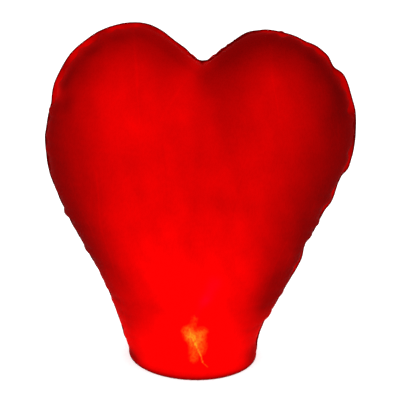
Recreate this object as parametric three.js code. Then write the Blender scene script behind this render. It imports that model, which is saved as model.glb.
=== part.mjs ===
// Heart-shaped sky lantern: two paper panels glued edge to edge, a bamboo ring in a folded hem at the
// mouth, two crossed burner wires, and a lift-off fuel cell of waxed sheets. Millimetres, +Z up, with
// the origin at the centre of the mouth on the surface that the lantern stands on. The front faces -Y.
import * as THREE from 'three';
import { mergeVertices } from 'three/addons/utils/BufferGeometryUtils.js';

// Envelope, measured at the panels' edges
const HALF_WIDTH = 410;        // centre line to the widest point of the panel
const WIDEST_Z = 615;
const LOBE_TOP_X = 165;
const LOBE_TOP_Z = 919;
const CLEFT_Z = 824;
const SIDE_HANDLES = [[190, 150], [396, 430]];           // bend the outline from mouth to widest point
const FLANK_HANDLES = [[100, LOBE_TOP_Z], [45, 858]];    // bend it from the lobe's top to the cleft
const RIB_SPREAD = 0.93;       // below 1 moves the ribs' inner ends up the centre line
const HALF_DEPTH = 208;        // greatest depth of one panel in front of the seam plane
const LOBE_BULGE = 34;         // extra fullness of the two lobes
const SEAM_SHARPNESS = 0.2;    // 0 is a round seam line, more is a sharper one
const PAPER = 1.0;             // thickness of the panel solids
const CLEFT_PAPER = 1.5;       // the same where both panels come to a point at the cleft
const SEAM_MARGIN = 8;         // width of the glued fin outside the panels' edges
const GAP = 0.3;               // clearance between touching pieces

// Bamboo ring and the hem round it
const RING_RADIUS = 177;       // to the middle of the strip
const STRIP_WIDTH = 3;         // radial
const STRIP_HEIGHT = 8;
const LAP_ANGLE = 0.34;        // overlap of the strip's two ends, radians
const LAP_CENTRE = 1.4;        // where the lap sits, radians from +X
const HEM_PAPER = 0.8;
const HEM_OUTER_TOP = 14;
const HEM_INNER_DROP = 0.1;    // from the strip's top down to the edge of the hem's inner leg

// Burner
const WIRE_DIAMETER = 1.2;
const WIRE_TURN = 22;          // the crossed wires are turned this many degrees from the X and Y axes
const WRAP_TURNS = 3;
const WRAP_PITCH = 1.7;
const THREAD_DIAMETER = 0.9;
const THREAD_TURNS = 5;
const THREAD_PITCH = 1.3;
const BINDING_SPREAD = 0.55;   // distance between the two bindings, as a share of the lap
const WIRE_NEAR_RING = 2;      // a wire's straight part ends this far from the hem
const HUMP_TOP = 4;            // where one wire passes over the other: from the centre to the level top's end
const HUMP_FOOT = 9;
const PRONG_SPACING = 14;
const PRONG_TOP = 34;
const HAIRPIN_BEND = 1.5;      // size of the bend at the foot of each prong
const FUEL_SIDE = 62;
const FUEL_CORNER = 3;
const FUEL_SHEETS = 5;
const FUEL_SHEET_THICKNESS = 2.2;
const FUEL_HOLE = 1.4;         // radius of the holes that the prongs pass through

// Mesh density
const RIB_ROWS = 32;           // from the mouth to the cleft, on the panels and on the fins
const RIB_COLUMNS = 22;        // from seam to seam
const RING_STEPS = 48;
const LAP_STEPS = 4;
const WIRE_SIDES = 6;
const THREAD_SIDES = 5;
const CORNER_SEGMENTS = 4;
const SAME_POINT = 1e-3;       // points closer than this are joined

// Heights and radii that follow from the sizes above
const WRAP_REACH = WIRE_DIAMETER / 2 + GAP;              // strip face to the middle of a wrapped wire
const CHANNEL_GAP = WIRE_DIAMETER + 2 * GAP;             // strip face to the hem's paper
const STRIP_BOTTOM = HEM_PAPER + CHANNEL_GAP;
const STRIP_TOP = STRIP_BOTTOM + STRIP_HEIGHT;
const WIRE_Z = STRIP_TOP + WRAP_REACH;
const CROSSING_LIFT = WIRE_DIAMETER + GAP;               // wire b passes over wire a
const CHANNEL_OUTER = RING_RADIUS + STRIP_WIDTH / 2 + CHANNEL_GAP;
const CHANNEL_INNER = RING_RADIUS - STRIP_WIDTH / 2 - CHANNEL_GAP;
const MOUTH_RADIUS = CHANNEL_OUTER + HEM_PAPER;
const HEM_INNER_TOP = STRIP_TOP - HEM_INNER_DROP;
const PANEL_BOTTOM = HEM_OUTER_TOP + GAP;

const group = new THREE.Group();

function finish(color, roughness, metalness = 0) {
  return new THREE.MeshStandardMaterial({ color, roughness, metalness, side: THREE.DoubleSide });
}

const paper = finish(0xc80a08, 0.85);
const glued = finish(0x9a0806, 0.8);
const bamboo = finish(0xc9a86a, 0.6);
const steel = finish(0x8d8f92, 0.35, 1);
const thread = finish(0xd8cfb8, 0.9);
const wax = finish(0xe9dfc0, 0.5);

function add(name, geometry, material) {
  const mesh = new THREE.Mesh(geometry, material);
  mesh.name = name;
  group.add(mesh);
}

// A closed body from points and faces: equal points are joined and collapsed triangles dropped.
function closedBody(points, faces) {
  const soup = new THREE.BufferGeometry().setFromPoints(faces.flat().map((i) => points[i]));
  const merged = mergeVertices(soup, SAME_POINT);
  const ids = merged.index.array;
  const kept = [];
  for (let i = 0; i < ids.length; i += 3) {
    const [a, b, c] = [ids[i], ids[i + 1], ids[i + 2]];
    if (a !== b && b !== c && c !== a) kept.push(a, b, c);
  }
  merged.setIndex(kept);
  merged.computeVertexNormals();
  return merged;
}

// A body through equal polygons, in order, with flat ends made of the given triangles. Each polygon
// runs anticlockwise when seen along the direction of travel.
function loftBody(sections, capTriangles) {
  const sides = sections[0].length;
  const last = sections.length - 1;
  const at = (row, k) => row * sides + (k % sides);
  const faces = [];
  for (let row = 0; row < last; row += 1) {
    for (let k = 0; k < sides; k += 1) {
      faces.push([at(row, k), at(row, k + 1), at(row + 1, k + 1)]);
      faces.push([at(row, k), at(row + 1, k + 1), at(row + 1, k)]);
    }
  }
  for (const [a, b, c] of capTriangles) {
    faces.push([at(0, a), at(0, c), at(0, b)]);
    faces.push([at(last, a), at(last, b), at(last, c)]);
  }
  return closedBody(sections.flat(), faces);
}

const QUAD_CAP = [[0, 1, 2], [0, 2, 3]];

// ---- Envelope ----------------------------------------------------------------------------------

// Right half of the panel's outline, from the mouth (0) over the lobe to the cleft (1), as x and z.
const side = new THREE.CubicBezierCurve(
  new THREE.Vector2(MOUTH_RADIUS, PANEL_BOTTOM),
  ...SIDE_HANDLES.map(([x, z]) => new THREE.Vector2(x, z)),
  new THREE.Vector2(HALF_WIDTH, WIDEST_Z),
);
const lobe = new THREE.EllipseCurve(
  LOBE_TOP_X, WIDEST_Z, HALF_WIDTH - LOBE_TOP_X, LOBE_TOP_Z - WIDEST_Z, 0, Math.PI / 2,
);
const flank = new THREE.CubicBezierCurve(
  new THREE.Vector2(LOBE_TOP_X, LOBE_TOP_Z),
  ...FLANK_HANDLES.map(([x, z]) => new THREE.Vector2(x, z)),
  new THREE.Vector2(0, CLEFT_Z),
);
const outline = new THREE.CurvePath();
outline.add(side);
outline.add(lobe);
outline.add(flank);

function outward(s) {
  const tangent = outline.getTangentAt(s);
  return new THREE.Vector2(tangent.y, -tangent.x);
}

// Height on the centre line that the rib from outline point s runs to.
function spineHeight(s) {
  return PANEL_BOTTOM + (CLEFT_Z - PANEL_BOTTOM) * Math.sin((Math.PI / 2) * s ** RIB_SPREAD);
}

// Point of a panel's outer face. across runs from -1, the left seam, over 0, the centre line, to 1.
function panelPoint(s, across) {
  const edge = outline.getPointAt(s);
  const spine = spineHeight(s);
  const rise = (spine - PANEL_BOTTOM) / (CLEFT_Z - PANEL_BOTTOM);
  const closing = Math.sqrt(Math.max(0, 1 - rise ** 6));
  const belly = (MOUTH_RADIUS + (HALF_DEPTH - MOUTH_RADIUS) * Math.sin(Math.PI * rise)) * closing;
  const turn = (1 - Math.abs(across)) * (Math.PI / 2);
  const reach = Math.cos(turn);
  const bulge = LOBE_BULGE * rise ** 2 * closing * Math.sin(2 * turn);
  const depth = belly * Math.sin(turn) ** (1 + SEAM_SHARPNESS * rise) + bulge;
  return new THREE.Vector3(
    Math.sign(across) * edge.x * reach,
    -GAP / 2 - depth,
    spine + (edge.y - spine) * reach,
  );
}

// Inward direction of a panel at a grid point, found from its neighbours on the surface. On the seam
// and at the mouth it stays in the plane of the panel's edge, so that the edges stay flat.
function inwardAt(s, across) {
  const step = 0.004;
  const up = panelPoint(Math.min(1, s + step), across).sub(panelPoint(Math.max(0, s - step), across));
  const right = panelPoint(s, Math.min(1, across + step));
  const left = panelPoint(s, Math.max(-1, across - step));
  const inward = up.cross(right.sub(left));
  if (Math.abs(across) === 1) inward.y = 0;
  if (s === 0) inward.z = 0;
  return inward.normalize();
}

function panelBody(mirror) {
  const outer = [];
  const inner = [];
  for (let row = 0; row <= RIB_ROWS; row += 1) {
    const s = row / RIB_ROWS;
    for (let column = 0; column <= RIB_COLUMNS; column += 1) {
      const across = (2 * column) / RIB_COLUMNS - 1;
      const point = panelPoint(s, across);
      const inside = point.clone();
      if (s === 1) inside.z -= CLEFT_PAPER;
      else inside.addScaledVector(inwardAt(s, across), PAPER);
      outer.push(point);
      inner.push(inside);
    }
  }
  const points = outer.concat(inner);
  const count = outer.length;
  const width = RIB_COLUMNS + 1;
  const faces = [];
  const quad = (a, b, c, d) => faces.push([a, b, c], [a, c, d]);
  for (let row = 0; row < RIB_ROWS; row += 1) {
    for (let column = 0; column < RIB_COLUMNS; column += 1) {
      const a = row * width + column;
      quad(a, a + 1, a + width + 1, a + width);
      quad(count + a, count + a + width, count + a + width + 1, count + a + 1);
    }
    const left = row * width;
    const right = left + RIB_COLUMNS;
    quad(left, left + width, count + left + width, count + left);
    quad(right, count + right, count + right + width, right + width);
  }
  const top = RIB_ROWS * width;
  for (let column = 0; column < RIB_COLUMNS; column += 1) {
    quad(column, count + column, count + column + 1, column + 1);
    quad(top + column, top + column + 1, count + top + column + 1, count + top + column);
  }
  if (mirror) {
    points.forEach((point) => { point.y *= -1; });
    faces.forEach((face) => face.reverse());
  }
  return closedBody(points, faces);
}

add('front_panel', panelBody(false), paper);
add('back_panel', panelBody(true), paper);

// The glued fin along one side of the outline. hand is 1 on the right and -1 on the left.
function seamFin(hand) {
  const sections = [];
  for (let step = 0; step <= RIB_ROWS; step += 1) {
    const s = step / RIB_ROWS;
    const edge = outline.getPointAt(s);
    const away = outward(s);
    const near = edge.clone().addScaledVector(away, GAP);
    const far = edge.clone().addScaledVector(away, SEAM_MARGIN);
    const corner = (spot, y) => new THREE.Vector3(hand * Math.max(spot.x, GAP / 2), y, spot.y);
    const half = PAPER / 2;
    const section = [corner(near, -half), corner(near, half), corner(far, half), corner(far, -half)];
    sections.push(hand > 0 ? section.reverse() : section);
  }
  return loftBody(sections, QUAD_CAP);
}

add('seam_right', seamFin(1), glued);
add('seam_left', seamFin(-1), glued);

// ---- Mouth -------------------------------------------------------------------------------------

function onCircle(radius, angle, z) {
  return new THREE.Vector3(radius * Math.cos(angle), radius * Math.sin(angle), z);
}

// Half of the hem: a paper channel round the ring, its outer leg meeting one panel's bottom edge.
function hemHalf(startAngle) {
  const profile = [
    [CHANNEL_INNER - HEM_PAPER, 0],
    [CHANNEL_INNER - HEM_PAPER, HEM_INNER_TOP],
    [CHANNEL_INNER, HEM_INNER_TOP],
    [CHANNEL_INNER, HEM_PAPER],
    [CHANNEL_OUTER, HEM_PAPER],
    [CHANNEL_OUTER, HEM_OUTER_TOP],
    [MOUTH_RADIUS, HEM_OUTER_TOP],
    [MOUTH_RADIUS, 0],
  ];
  const cap = [[0, 1, 2], [0, 2, 3], [0, 3, 4], [0, 4, 7], [4, 5, 6], [4, 6, 7]];
  const margin = GAP / 2 / MOUTH_RADIUS;
  const sections = [];
  for (let step = 0; step <= RING_STEPS / 2; step += 1) {
    const angle = startAngle + margin + ((Math.PI - 2 * margin) * step) / (RING_STEPS / 2);
    sections.push(profile.map(([radius, z]) => onCircle(radius, angle, z)));
  }
  return loftBody(sections, cap);
}

add('hem_front', hemHalf(Math.PI), paper);
add('hem_back', hemHalf(0), paper);

// The bamboo strip makes one turn and a lap. Over the lap each end is cut to half its thickness, one
// on the inner side and one on the outer side, so the lapped ring keeps the strip's own section.
function ringStrip() {
  const sections = [];
  const sweep = 2 * Math.PI + LAP_ANGLE;
  const start = LAP_CENTRE - LAP_ANGLE / 2;
  const inner = RING_RADIUS - STRIP_WIDTH / 2;
  const outer = RING_RADIUS + STRIP_WIDTH / 2;
  const ramp = 0.04;           // radians over which an end thins down
  const addSection = (turned) => {
    const atStart = THREE.MathUtils.clamp((LAP_ANGLE + ramp - turned) / ramp, 0, 1);
    const atEnd = THREE.MathUtils.clamp((turned - (sweep - LAP_ANGLE - ramp)) / ramp, 0, 1);
    const outside = THREE.MathUtils.lerp(outer, RING_RADIUS - GAP / 2, atStart);
    const inside = THREE.MathUtils.lerp(inner, RING_RADIUS + GAP / 2, atEnd);
    const angle = start + turned;
    sections.push([
      onCircle(inside, angle, STRIP_BOTTOM),
      onCircle(inside, angle, STRIP_TOP),
      onCircle(outside, angle, STRIP_TOP),
      onCircle(outside, angle, STRIP_BOTTOM),
    ]);
  };
  for (let step = 0; step <= LAP_STEPS; step += 1) addSection((LAP_ANGLE * step) / LAP_STEPS);
  const from = LAP_ANGLE + ramp;
  const to = sweep - LAP_ANGLE - ramp;
  for (let step = 0; step <= RING_STEPS; step += 1) addSection(from + ((to - from) * step) / RING_STEPS);
  for (let step = 0; step <= LAP_STEPS; step += 1) {
    addSection(sweep - LAP_ANGLE + (LAP_ANGLE * step) / LAP_STEPS);
  }
  return loftBody(sections, QUAD_CAP);
}

add('bamboo_ring', ringStrip(), bamboo);

// A path through given points that is sampled at those points.
class PointPath extends THREE.CatmullRomCurve3 {
  getPointAt(u, target) {
    return this.getPoint(u, target);
  }

  getTangentAt(u, target) {
    return this.getTangent(u, target);
  }
}

function roundSection(radius, sides) {
  const shape = new THREE.Shape();
  for (let k = 0; k < sides; k += 1) {
    const angle = (2 * Math.PI * k) / sides;
    const move = k === 0 ? 'moveTo' : 'lineTo';
    shape[move](radius * Math.cos(angle), radius * Math.sin(angle));
  }
  return shape;
}

function wireBody(points, diameter, sides) {
  const steps = points.length - 1;
  const extrudePath = new PointPath(points);
  return new THREE.ExtrudeGeometry(roundSection(diameter / 2, sides), { steps, extrudePath });
}

// Turns of wire round the ring at an angle. The coil follows the strip's section at an even distance:
// out over the top, down the outer face, back underneath and up the inner face, drifting sideways.
function wrapPoints(angle, diameter, turns, pitch) {
  const reach = diameter / 2 + GAP;
  const corners = [[1, 1], [1, -1], [-1, -1], [-1, 1]];
  const arcParts = 3;
  const pointsPerTurn = corners.length * arcParts;
  const points = [];
  for (let k = 0; k < turns * pointsPerTurn; k += 1) {
    const quarter = Math.floor(k / arcParts) % corners.length;
    const [right, top] = corners[quarter];
    const bend = (Math.PI / 2) * (1 - quarter - (k % arcParts) / (arcParts - 1));
    const radius = RING_RADIUS + (right * STRIP_WIDTH) / 2 + reach * Math.cos(bend);
    const z = (STRIP_BOTTOM + STRIP_TOP + top * STRIP_HEIGHT) / 2 + reach * Math.sin(bend);
    const drift = (pitch * k) / pointsPerTurn / RING_RADIUS;
    points.push(onCircle(radius, angle + drift, z));
  }
  return points;
}

for (const number of [1, 2]) {
  const angle = LAP_CENTRE + (number - 1.5) * LAP_ANGLE * BINDING_SPREAD;
  const turns = wrapPoints(angle, THREAD_DIAMETER, THREAD_TURNS, THREAD_PITCH);
  add(`ring_binding_${number}`, wireBody(turns, THREAD_DIAMETER, THREAD_SIDES), thread);
}

// ---- Burner ------------------------------------------------------------------------------------

// One wire straight across the mouth, wrapped round the ring at both ends. lift raises its middle.
function burnerWire(angle, lift) {
  const wrapAt = (end) => wrapPoints(end, WIRE_DIAMETER, WRAP_TURNS, WRAP_PITCH);
  const nearRing = CHANNEL_INNER - HEM_PAPER - WIRE_NEAR_RING;
  const across = [
    [-nearRing, 0], [-HUMP_FOOT, 0], [-HUMP_TOP, lift],
    [HUMP_TOP, lift], [HUMP_FOOT, 0], [nearRing, 0],
  ];
  const middle = across.map(([along, up]) => onCircle(along, angle, WIRE_Z + up));
  const points = [...wrapAt(angle + Math.PI).reverse(), ...middle, ...wrapAt(angle)];
  return wireBody(points, WIRE_DIAMETER, WIRE_SIDES);
}

const wireAngle = THREE.MathUtils.degToRad(WIRE_TURN);
add('burner_wire_a', burnerWire(wireAngle - Math.PI / 2, 0), steel);
add('burner_wire_b', burnerWire(wireAngle, CROSSING_LIFT), steel);

// Hairpin that hooks under the crossing, its two prongs standing up through the fuel sheets.
function fuelHolder() {
  const angle = wireAngle + Math.PI / 4;
  const low = WIRE_Z - WIRE_DIAMETER - GAP;
  const half = PRONG_SPACING / 2;
  const midBend = HAIRPIN_BEND * 0.3;      // from the bend's square corner to the wire, along each side
  const profile = [
    [-half, PRONG_TOP],
    [-half, low + HAIRPIN_BEND],
    [-half + midBend, low + midBend],
    [-half + HAIRPIN_BEND, low],
    [half - HAIRPIN_BEND, low],
    [half - midBend, low + midBend],
    [half, low + HAIRPIN_BEND],
    [half, PRONG_TOP],
  ];
  const points = profile.map(([along, z]) => onCircle(along, angle, z));
  return wireBody(points, WIRE_DIAMETER, WIRE_SIDES);
}

add('fuel_holder_wire', fuelHolder(), steel);

function fuelSheet() {
  const half = FUEL_SIDE / 2;
  const flat = half - FUEL_CORNER;
  const shape = new THREE.Shape();
  shape.moveTo(half, -flat);
  for (let corner = 0; corner < 4; corner += 1) {
    const turn = (Math.PI / 2) * corner;
    const centre = new THREE.Vector2(flat, flat).rotateAround(new THREE.Vector2(), turn);
    shape.absarc(centre.x, centre.y, FUEL_CORNER, turn, turn + Math.PI / 2);
  }
  shape.closePath();
  const diagonal = new THREE.Vector2(Math.SQRT1_2, Math.SQRT1_2);
  for (const end of [-1, 1]) {
    const place = diagonal.clone().multiplyScalar((end * PRONG_SPACING) / 2);
    shape.holes.push(new THREE.Path().absarc(place.x, place.y, FUEL_HOLE, 0, 2 * Math.PI, true));
  }
  return new THREE.ExtrudeGeometry(shape, {
    depth: FUEL_SHEET_THICKNESS, bevelEnabled: false, curveSegments: CORNER_SEGMENTS,
  });
}

const fuelBottom = WIRE_Z + CROSSING_LIFT + WRAP_REACH;
for (let number = 1; number <= FUEL_SHEETS; number += 1) {
  const lift = fuelBottom + (number - 1) * (FUEL_SHEET_THICKNESS + GAP);
  add(`fuel_sheet_${number}`, fuelSheet().rotateZ(wireAngle).translate(0, 0, lift), wax);
}

export default group;
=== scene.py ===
import math

import bpy
import numpy as np
from mathutils import Matrix, Vector
from mathutils.geometry import delaunay_2d_cdt


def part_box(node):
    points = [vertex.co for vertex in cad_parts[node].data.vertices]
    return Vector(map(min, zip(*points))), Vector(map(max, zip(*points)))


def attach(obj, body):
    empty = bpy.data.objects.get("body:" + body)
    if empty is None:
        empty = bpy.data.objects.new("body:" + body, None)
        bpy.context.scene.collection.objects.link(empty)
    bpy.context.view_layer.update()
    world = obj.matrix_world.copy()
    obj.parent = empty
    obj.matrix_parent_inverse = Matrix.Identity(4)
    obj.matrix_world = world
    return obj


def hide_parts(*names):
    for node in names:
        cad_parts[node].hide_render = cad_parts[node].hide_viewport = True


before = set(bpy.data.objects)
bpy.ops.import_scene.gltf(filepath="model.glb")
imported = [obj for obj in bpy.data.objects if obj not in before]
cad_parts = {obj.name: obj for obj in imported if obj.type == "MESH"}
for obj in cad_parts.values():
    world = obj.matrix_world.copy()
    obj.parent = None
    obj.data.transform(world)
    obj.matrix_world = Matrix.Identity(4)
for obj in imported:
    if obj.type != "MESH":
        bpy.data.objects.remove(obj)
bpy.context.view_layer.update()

# ---- Sizes, from the frame

panel_low, panel_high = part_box("front_panel")
HALF_WIDTH = panel_high[0]
LOBE_TOP_Z = panel_high[2]
PANEL_BOTTOM = panel_low[2]
HALF_DEPTH = -panel_low[1]
MOUTH_RADIUS = -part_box("hem_front")[0][1]
SEAM_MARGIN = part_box("seam_right")[1][0] - HALF_WIDTH

# The heart's outline, as on the CAD panel
WIDEST_Z = 0.615
LOBE_TOP_X = 0.165
CLEFT_Z = 0.824
SIDE_CONTROLS = ((0.19, 0.15), (0.396, 0.43))
FLANK_CONTROLS = ((0.1, LOBE_TOP_Z), (0.045, 0.858))
LOBE_BULGE = 0.034
SEAM_SHARPNESS = 0.2

LATTICE = 0.0078  # spacing of the paper's mesh
PAPER_THICKNESS = 0.0005
# The limp paper sags sideways at some heights, as height, spread and shift
SAGS = ((0.08, 0.07, -0.007), (0.44, 0.14, -0.0135))


# ---- The heart as a surface

def bezier(ends, controls, count):
    t = np.linspace(0, 1, count)[:, None]
    a, d = (np.array(end, float) for end in ends)
    b, c = (np.array(control, float) for control in controls)
    return (1 - t) ** 3 * a + 3 * (1 - t) ** 2 * t * b + 3 * (1 - t) * t ** 2 * c + t ** 3 * d


def outline_curve(count=400):
    """Right half of the outline from the mouth over the lobe to the cleft, as x and z."""
    mouth, widest = (MOUTH_RADIUS, PANEL_BOTTOM), (HALF_WIDTH, WIDEST_Z)
    side = bezier((mouth, widest), SIDE_CONTROLS, count)
    angle = np.linspace(0, math.pi / 2, count)
    lobe = np.column_stack((
        LOBE_TOP_X + (HALF_WIDTH - LOBE_TOP_X) * np.cos(angle),
        WIDEST_Z + (LOBE_TOP_Z - WIDEST_Z) * np.sin(angle),
    ))
    flank = bezier(((LOBE_TOP_X, LOBE_TOP_Z), (0, CLEFT_Z)), FLANK_CONTROLS, count)
    return np.vstack((side, lobe[1:], flank[1:]))


OUTLINE = outline_curve()
STEPS = np.hypot(*np.diff(OUTLINE, axis=0).T)
OUTLINE_LENGTH = STEPS.sum()
OUTLINE_S = np.concatenate(([0], np.cumsum(STEPS))) / OUTLINE_LENGTH


def edge_at(s):
    return np.interp(s, OUTLINE_S, OUTLINE[:, 0]), np.interp(s, OUTLINE_S, OUTLINE[:, 1])


def edge_normal(s):
    """Outward direction of the right-hand outline at s, as x and z."""
    step = 0.004
    x0, z0 = edge_at(np.maximum(s - step, 0))
    x1, z1 = edge_at(np.minimum(s + step, 1))
    length = np.hypot(x1 - x0, z1 - z0)
    return (z1 - z0) / length, -(x1 - x0) / length


def spine_at(s):
    return PANEL_BOTTOM + (CLEFT_Z - PANEL_BOTTOM) * np.sin(math.pi / 2 * s ** 0.93)


def rib_length(s):
    edge_x, edge_z = edge_at(s)
    return np.hypot(edge_x, edge_z - spine_at(s))


def locate(x, z):
    """The rib s, and how far along it from spine (0) to seam (1), of points in the flat heart."""
    low, high = np.zeros_like(x), np.full_like(x, 0.99999)
    for _ in range(40):
        middle = (low + high) / 2
        edge_x, edge_z = edge_at(middle)
        spine = spine_at(middle)
        above = edge_x * (z - spine) - (edge_z - spine) * np.abs(x) > 0
        low, high = np.where(above, middle, low), np.where(above, high, middle)
    reach = np.hypot(x, z - spine_at(low)) / np.maximum(rib_length(low), 1e-9)
    return low, np.clip(reach, 0, 1)


def inflated(s, across, hand):
    """Point of the front panel, in front of rib s; hand is -1 on the left and 1 on the right."""
    edge_x, edge_z = edge_at(s)
    spine = spine_at(s)
    rise = (spine - PANEL_BOTTOM) / (CLEFT_Z - PANEL_BOTTOM)
    closing = np.sqrt(np.maximum(0, 1 - rise ** 6))
    belly = (MOUTH_RADIUS + (HALF_DEPTH - MOUTH_RADIUS) * np.sin(math.pi * rise)) * closing
    turn = (1 - across) * math.pi / 2
    bulge = LOBE_BULGE * rise ** 2 * closing * np.sin(2 * turn)
    depth = belly * np.sin(turn) ** (1 + SEAM_SHARPNESS * rise) + bulge
    reach = np.cos(turn)
    return np.column_stack((hand * edge_x * reach, -depth, spine + (edge_z - spine) * reach))


# ---- Where the glued seam is gathered

# How far the outline is drawn in, at places along each side of the heart: s and depth
DRAWN_IN = {
    -1: (
        (0, 0), (0.04, 0.004), (0.3, 0.005), (0.34, 0.0065), (0.42, 0.003), (0.5, 0.005),
        (0.57, 0.01), (0.62, 0.002), (0.7, -0.001), (0.78, 0.0035), (0.84, 0.005), (0.92, 0.0105),
        (0.975, 0.0095), (1, 0.003),
    ),
    1: (
        (0, 0), (0.04, 0.005), (0.16, 0.003), (0.22, 0.0015), (0.28, 0.0125), (0.31, 0.006),
        (0.355, 0.005), (0.385, 0), (0.44, 0.0085), (0.464, -0.002), (0.52, 0), (0.6, -0.0035),
        (0.655, -0.005), (0.685, 0.006), (0.71, 0.0015), (0.73, 0.003), (0.77, 0.013), (0.86, 0.012),
        (0.89, 0.0085), (0.94, 0.0125), (0.975, 0.0125), (1, 0.003),
    ),
}
PLEAT_REACH = 0.045  # how far the drawing in reaches from the seam

# Stretches of the glued margin that are wider and brighter: first and last s, extra width, and light
WIDE_MARGINS = {
    -1: (
        (0.575, 0.66, 0.009, 0.62), (0.66, 0.76, 0.008, 0.6), (0.76, 0.87, 0.006, 0.54),
        (0.87, 0.985, 0.0055, 0.46),
    ),
    1: (
        (0.045, 0.115, 0.0035, 0.52), (0.185, 0.265, 0.007, 0.5), (0.345, 0.43, 0.008, 0.5),
        (0.45, 0.51, 0.0085, 0.5), (0.575, 0.68, 0.0065, 0.52), (0.68, 0.87, 0.003, 0.46),
        (0.93, 0.985, 0.002, 0.32),
    ),
}
WIDTH_FADE = 0.013
LIGHT_FADE = 0.027


def between(knots, s):
    """Smooth curve through knots of place and value."""
    places, values = np.array(knots).T
    index = np.clip(np.searchsorted(places, s) - 1, 0, len(places) - 2)
    part = smooth(s, places[index], places[index + 1])
    return values[index] * (1 - part) + values[index + 1] * part


def smooth(value, low, high):
    t = np.clip((value - low) / (high - low), 0, 1)
    return t * t * (3 - 2 * t)


def pull_at(s, hand):
    return np.where(hand < 0, between(DRAWN_IN[-1], s), between(DRAWN_IN[1], s))


def stretch(s, first, last, fade):
    """1 from first to last, and less over the fade at both ends."""
    return smooth(s, first - fade, first + fade) * (1 - smooth(s, last - fade, last + fade))


def margin_at(s, hand):
    """Extra width and light of the glued margin at s."""
    extra, light = np.zeros_like(s), np.zeros_like(s)
    for side, stretches in WIDE_MARGINS.items():
        on_side = hand == side
        for first, last, width, level in stretches:
            extra = np.maximum(extra, on_side * width * stretch(s, first, last, WIDTH_FADE))
            light = np.maximum(light, on_side * level * stretch(s, first, last, LIGHT_FADE))
    return extra, light


def sag_at(z):
    shift = sum(amount * np.exp(-((z - height) / spread) ** 2) for height, spread, amount in SAGS)
    return shift * smooth(z, PANEL_BOTTOM, PANEL_BOTTOM + 0.03)


# ---- Mesh helpers

def unit(vectors):
    return vectors / np.maximum(np.linalg.norm(vectors, axis=1, keepdims=True), 1e-12)


def make_mesh(name, points, faces):
    mesh = bpy.data.meshes.new(name)
    mesh.from_pydata([tuple(p) for p in points], [], [tuple(int(i) for i in f) for f in faces])
    mesh.validate()
    mesh.shade_smooth()
    piece = bpy.data.objects.new(name, mesh)
    bpy.context.scene.collection.objects.link(piece)
    return piece


def triangulated(loops, inner):
    """A flat mesh through closed loops of points and the points inside them, as points and triangles."""
    edges, first = [], 0
    for loop in loops:
        edges += [(first + k, first + (k + 1) % len(loop)) for k in range(len(loop))]
        first += len(loop)
    inside_only, tolerance = 1, 1e-7
    corners = [Vector(p) for p in np.vstack(loops + [inner])]
    result = delaunay_2d_cdt(corners, edges, [], inside_only, tolerance)
    return np.array([tuple(p) for p in result[0]]), np.array([tuple(t) for t in result[2]])


def quads(row, following, closed=False):
    """Faces between a row of points and the row that follows it."""
    if closed:
        row, following = np.append(row, row[0]), np.append(following, following[0])
    return [(row[k], row[k + 1], following[k + 1], following[k]) for k in range(len(row) - 1)]


# ---- The paper's mesh

class Heart:
    """The triangle mesh of one panel, flat, with each point's rib s, reach along it and side."""

    def __init__(self):
        count = int(OUTLINE_LENGTH / LATTICE)
        right = np.column_stack(edge_at(np.linspace(0, 1, count + 1)))
        left = (right * (-1, 1))[::-1][1:]
        across = np.linspace(-1, 1, int(math.pi * MOUTH_RADIUS / LATTICE) + 1)[1:-1]
        mouth = np.column_stack((across * MOUTH_RADIUS, np.full_like(across, PANEL_BOTTOM)))
        border = np.vstack((right, left, mouth))
        self.flat, self.triangles = triangulated([border], self.lattice())
        self.seam = np.arange(2 * count + 1)
        self.mouth = np.concatenate(([2 * count], np.arange(2 * count + 1, len(border)), [0]))
        self.hand = np.where(self.flat[:, 0] < 0, -1, 1)
        self.s, self.reach = locate(self.flat[:, 0], self.flat[:, 1])
        self.s[self.seam] = 1 - np.abs(np.arange(2 * count + 1) - count) / count
        self.reach[self.seam] = 1
        self.hand[self.seam] = np.where(self.seam < count, 1, -1)
        self.s[self.mouth] = 0
        self.reach[self.mouth] = np.abs(self.flat[self.mouth, 0]) / MOUTH_RADIUS
        self.arc_to_seam = (1 - self.reach) * rib_length(self.s)
        self.from_seam = self.seen_from_seam()

    @staticmethod
    def lattice():
        rows = np.arange(PANEL_BOTTOM, LOBE_TOP_Z, LATTICE * math.sqrt(0.75))
        columns = np.arange(-HALF_WIDTH, HALF_WIDTH, LATTICE)
        x, z = np.meshgrid(columns, rows)
        x = x + (np.arange(len(rows)) % 2)[:, None] * LATTICE / 2
        x, z = x.ravel(), z.ravel()
        s, reach = locate(x, z)
        room = np.minimum((1 - reach) * rib_length(s), z - PANEL_BOTTOM)
        kept = room > 0.6 * LATTICE
        return np.column_stack((x[kept], z[kept]))

    def seen_from_seam(self):
        """Distance of each point from the outline as seen from the front."""
        seen = np.abs(inflated(self.s, self.reach, self.hand)[:, (0, 2)])
        nearest = []
        for block in np.array_split(seen, 12):
            nearest.append(np.min(np.linalg.norm(block[:, None] - OUTLINE[None, ::2], axis=2), axis=1))
        distance = np.concatenate(nearest)
        distance[self.seam] = 0
        return distance

    def front(self):
        """The inflated front panel, with the outline pulled in at the notches."""
        points = inflated(self.s, self.reach, self.hand)
        normal_x, normal_z = edge_normal(self.s)
        pull = pull_at(self.s, self.hand) + margin_at(self.s, self.hand)[0]
        pull *= np.exp(-self.arc_to_seam / PLEAT_REACH)
        points[:, 0] -= self.hand * normal_x * pull
        points[:, 2] -= normal_z * pull
        return points


heart = Heart()


# ---- Inflating the paper

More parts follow.
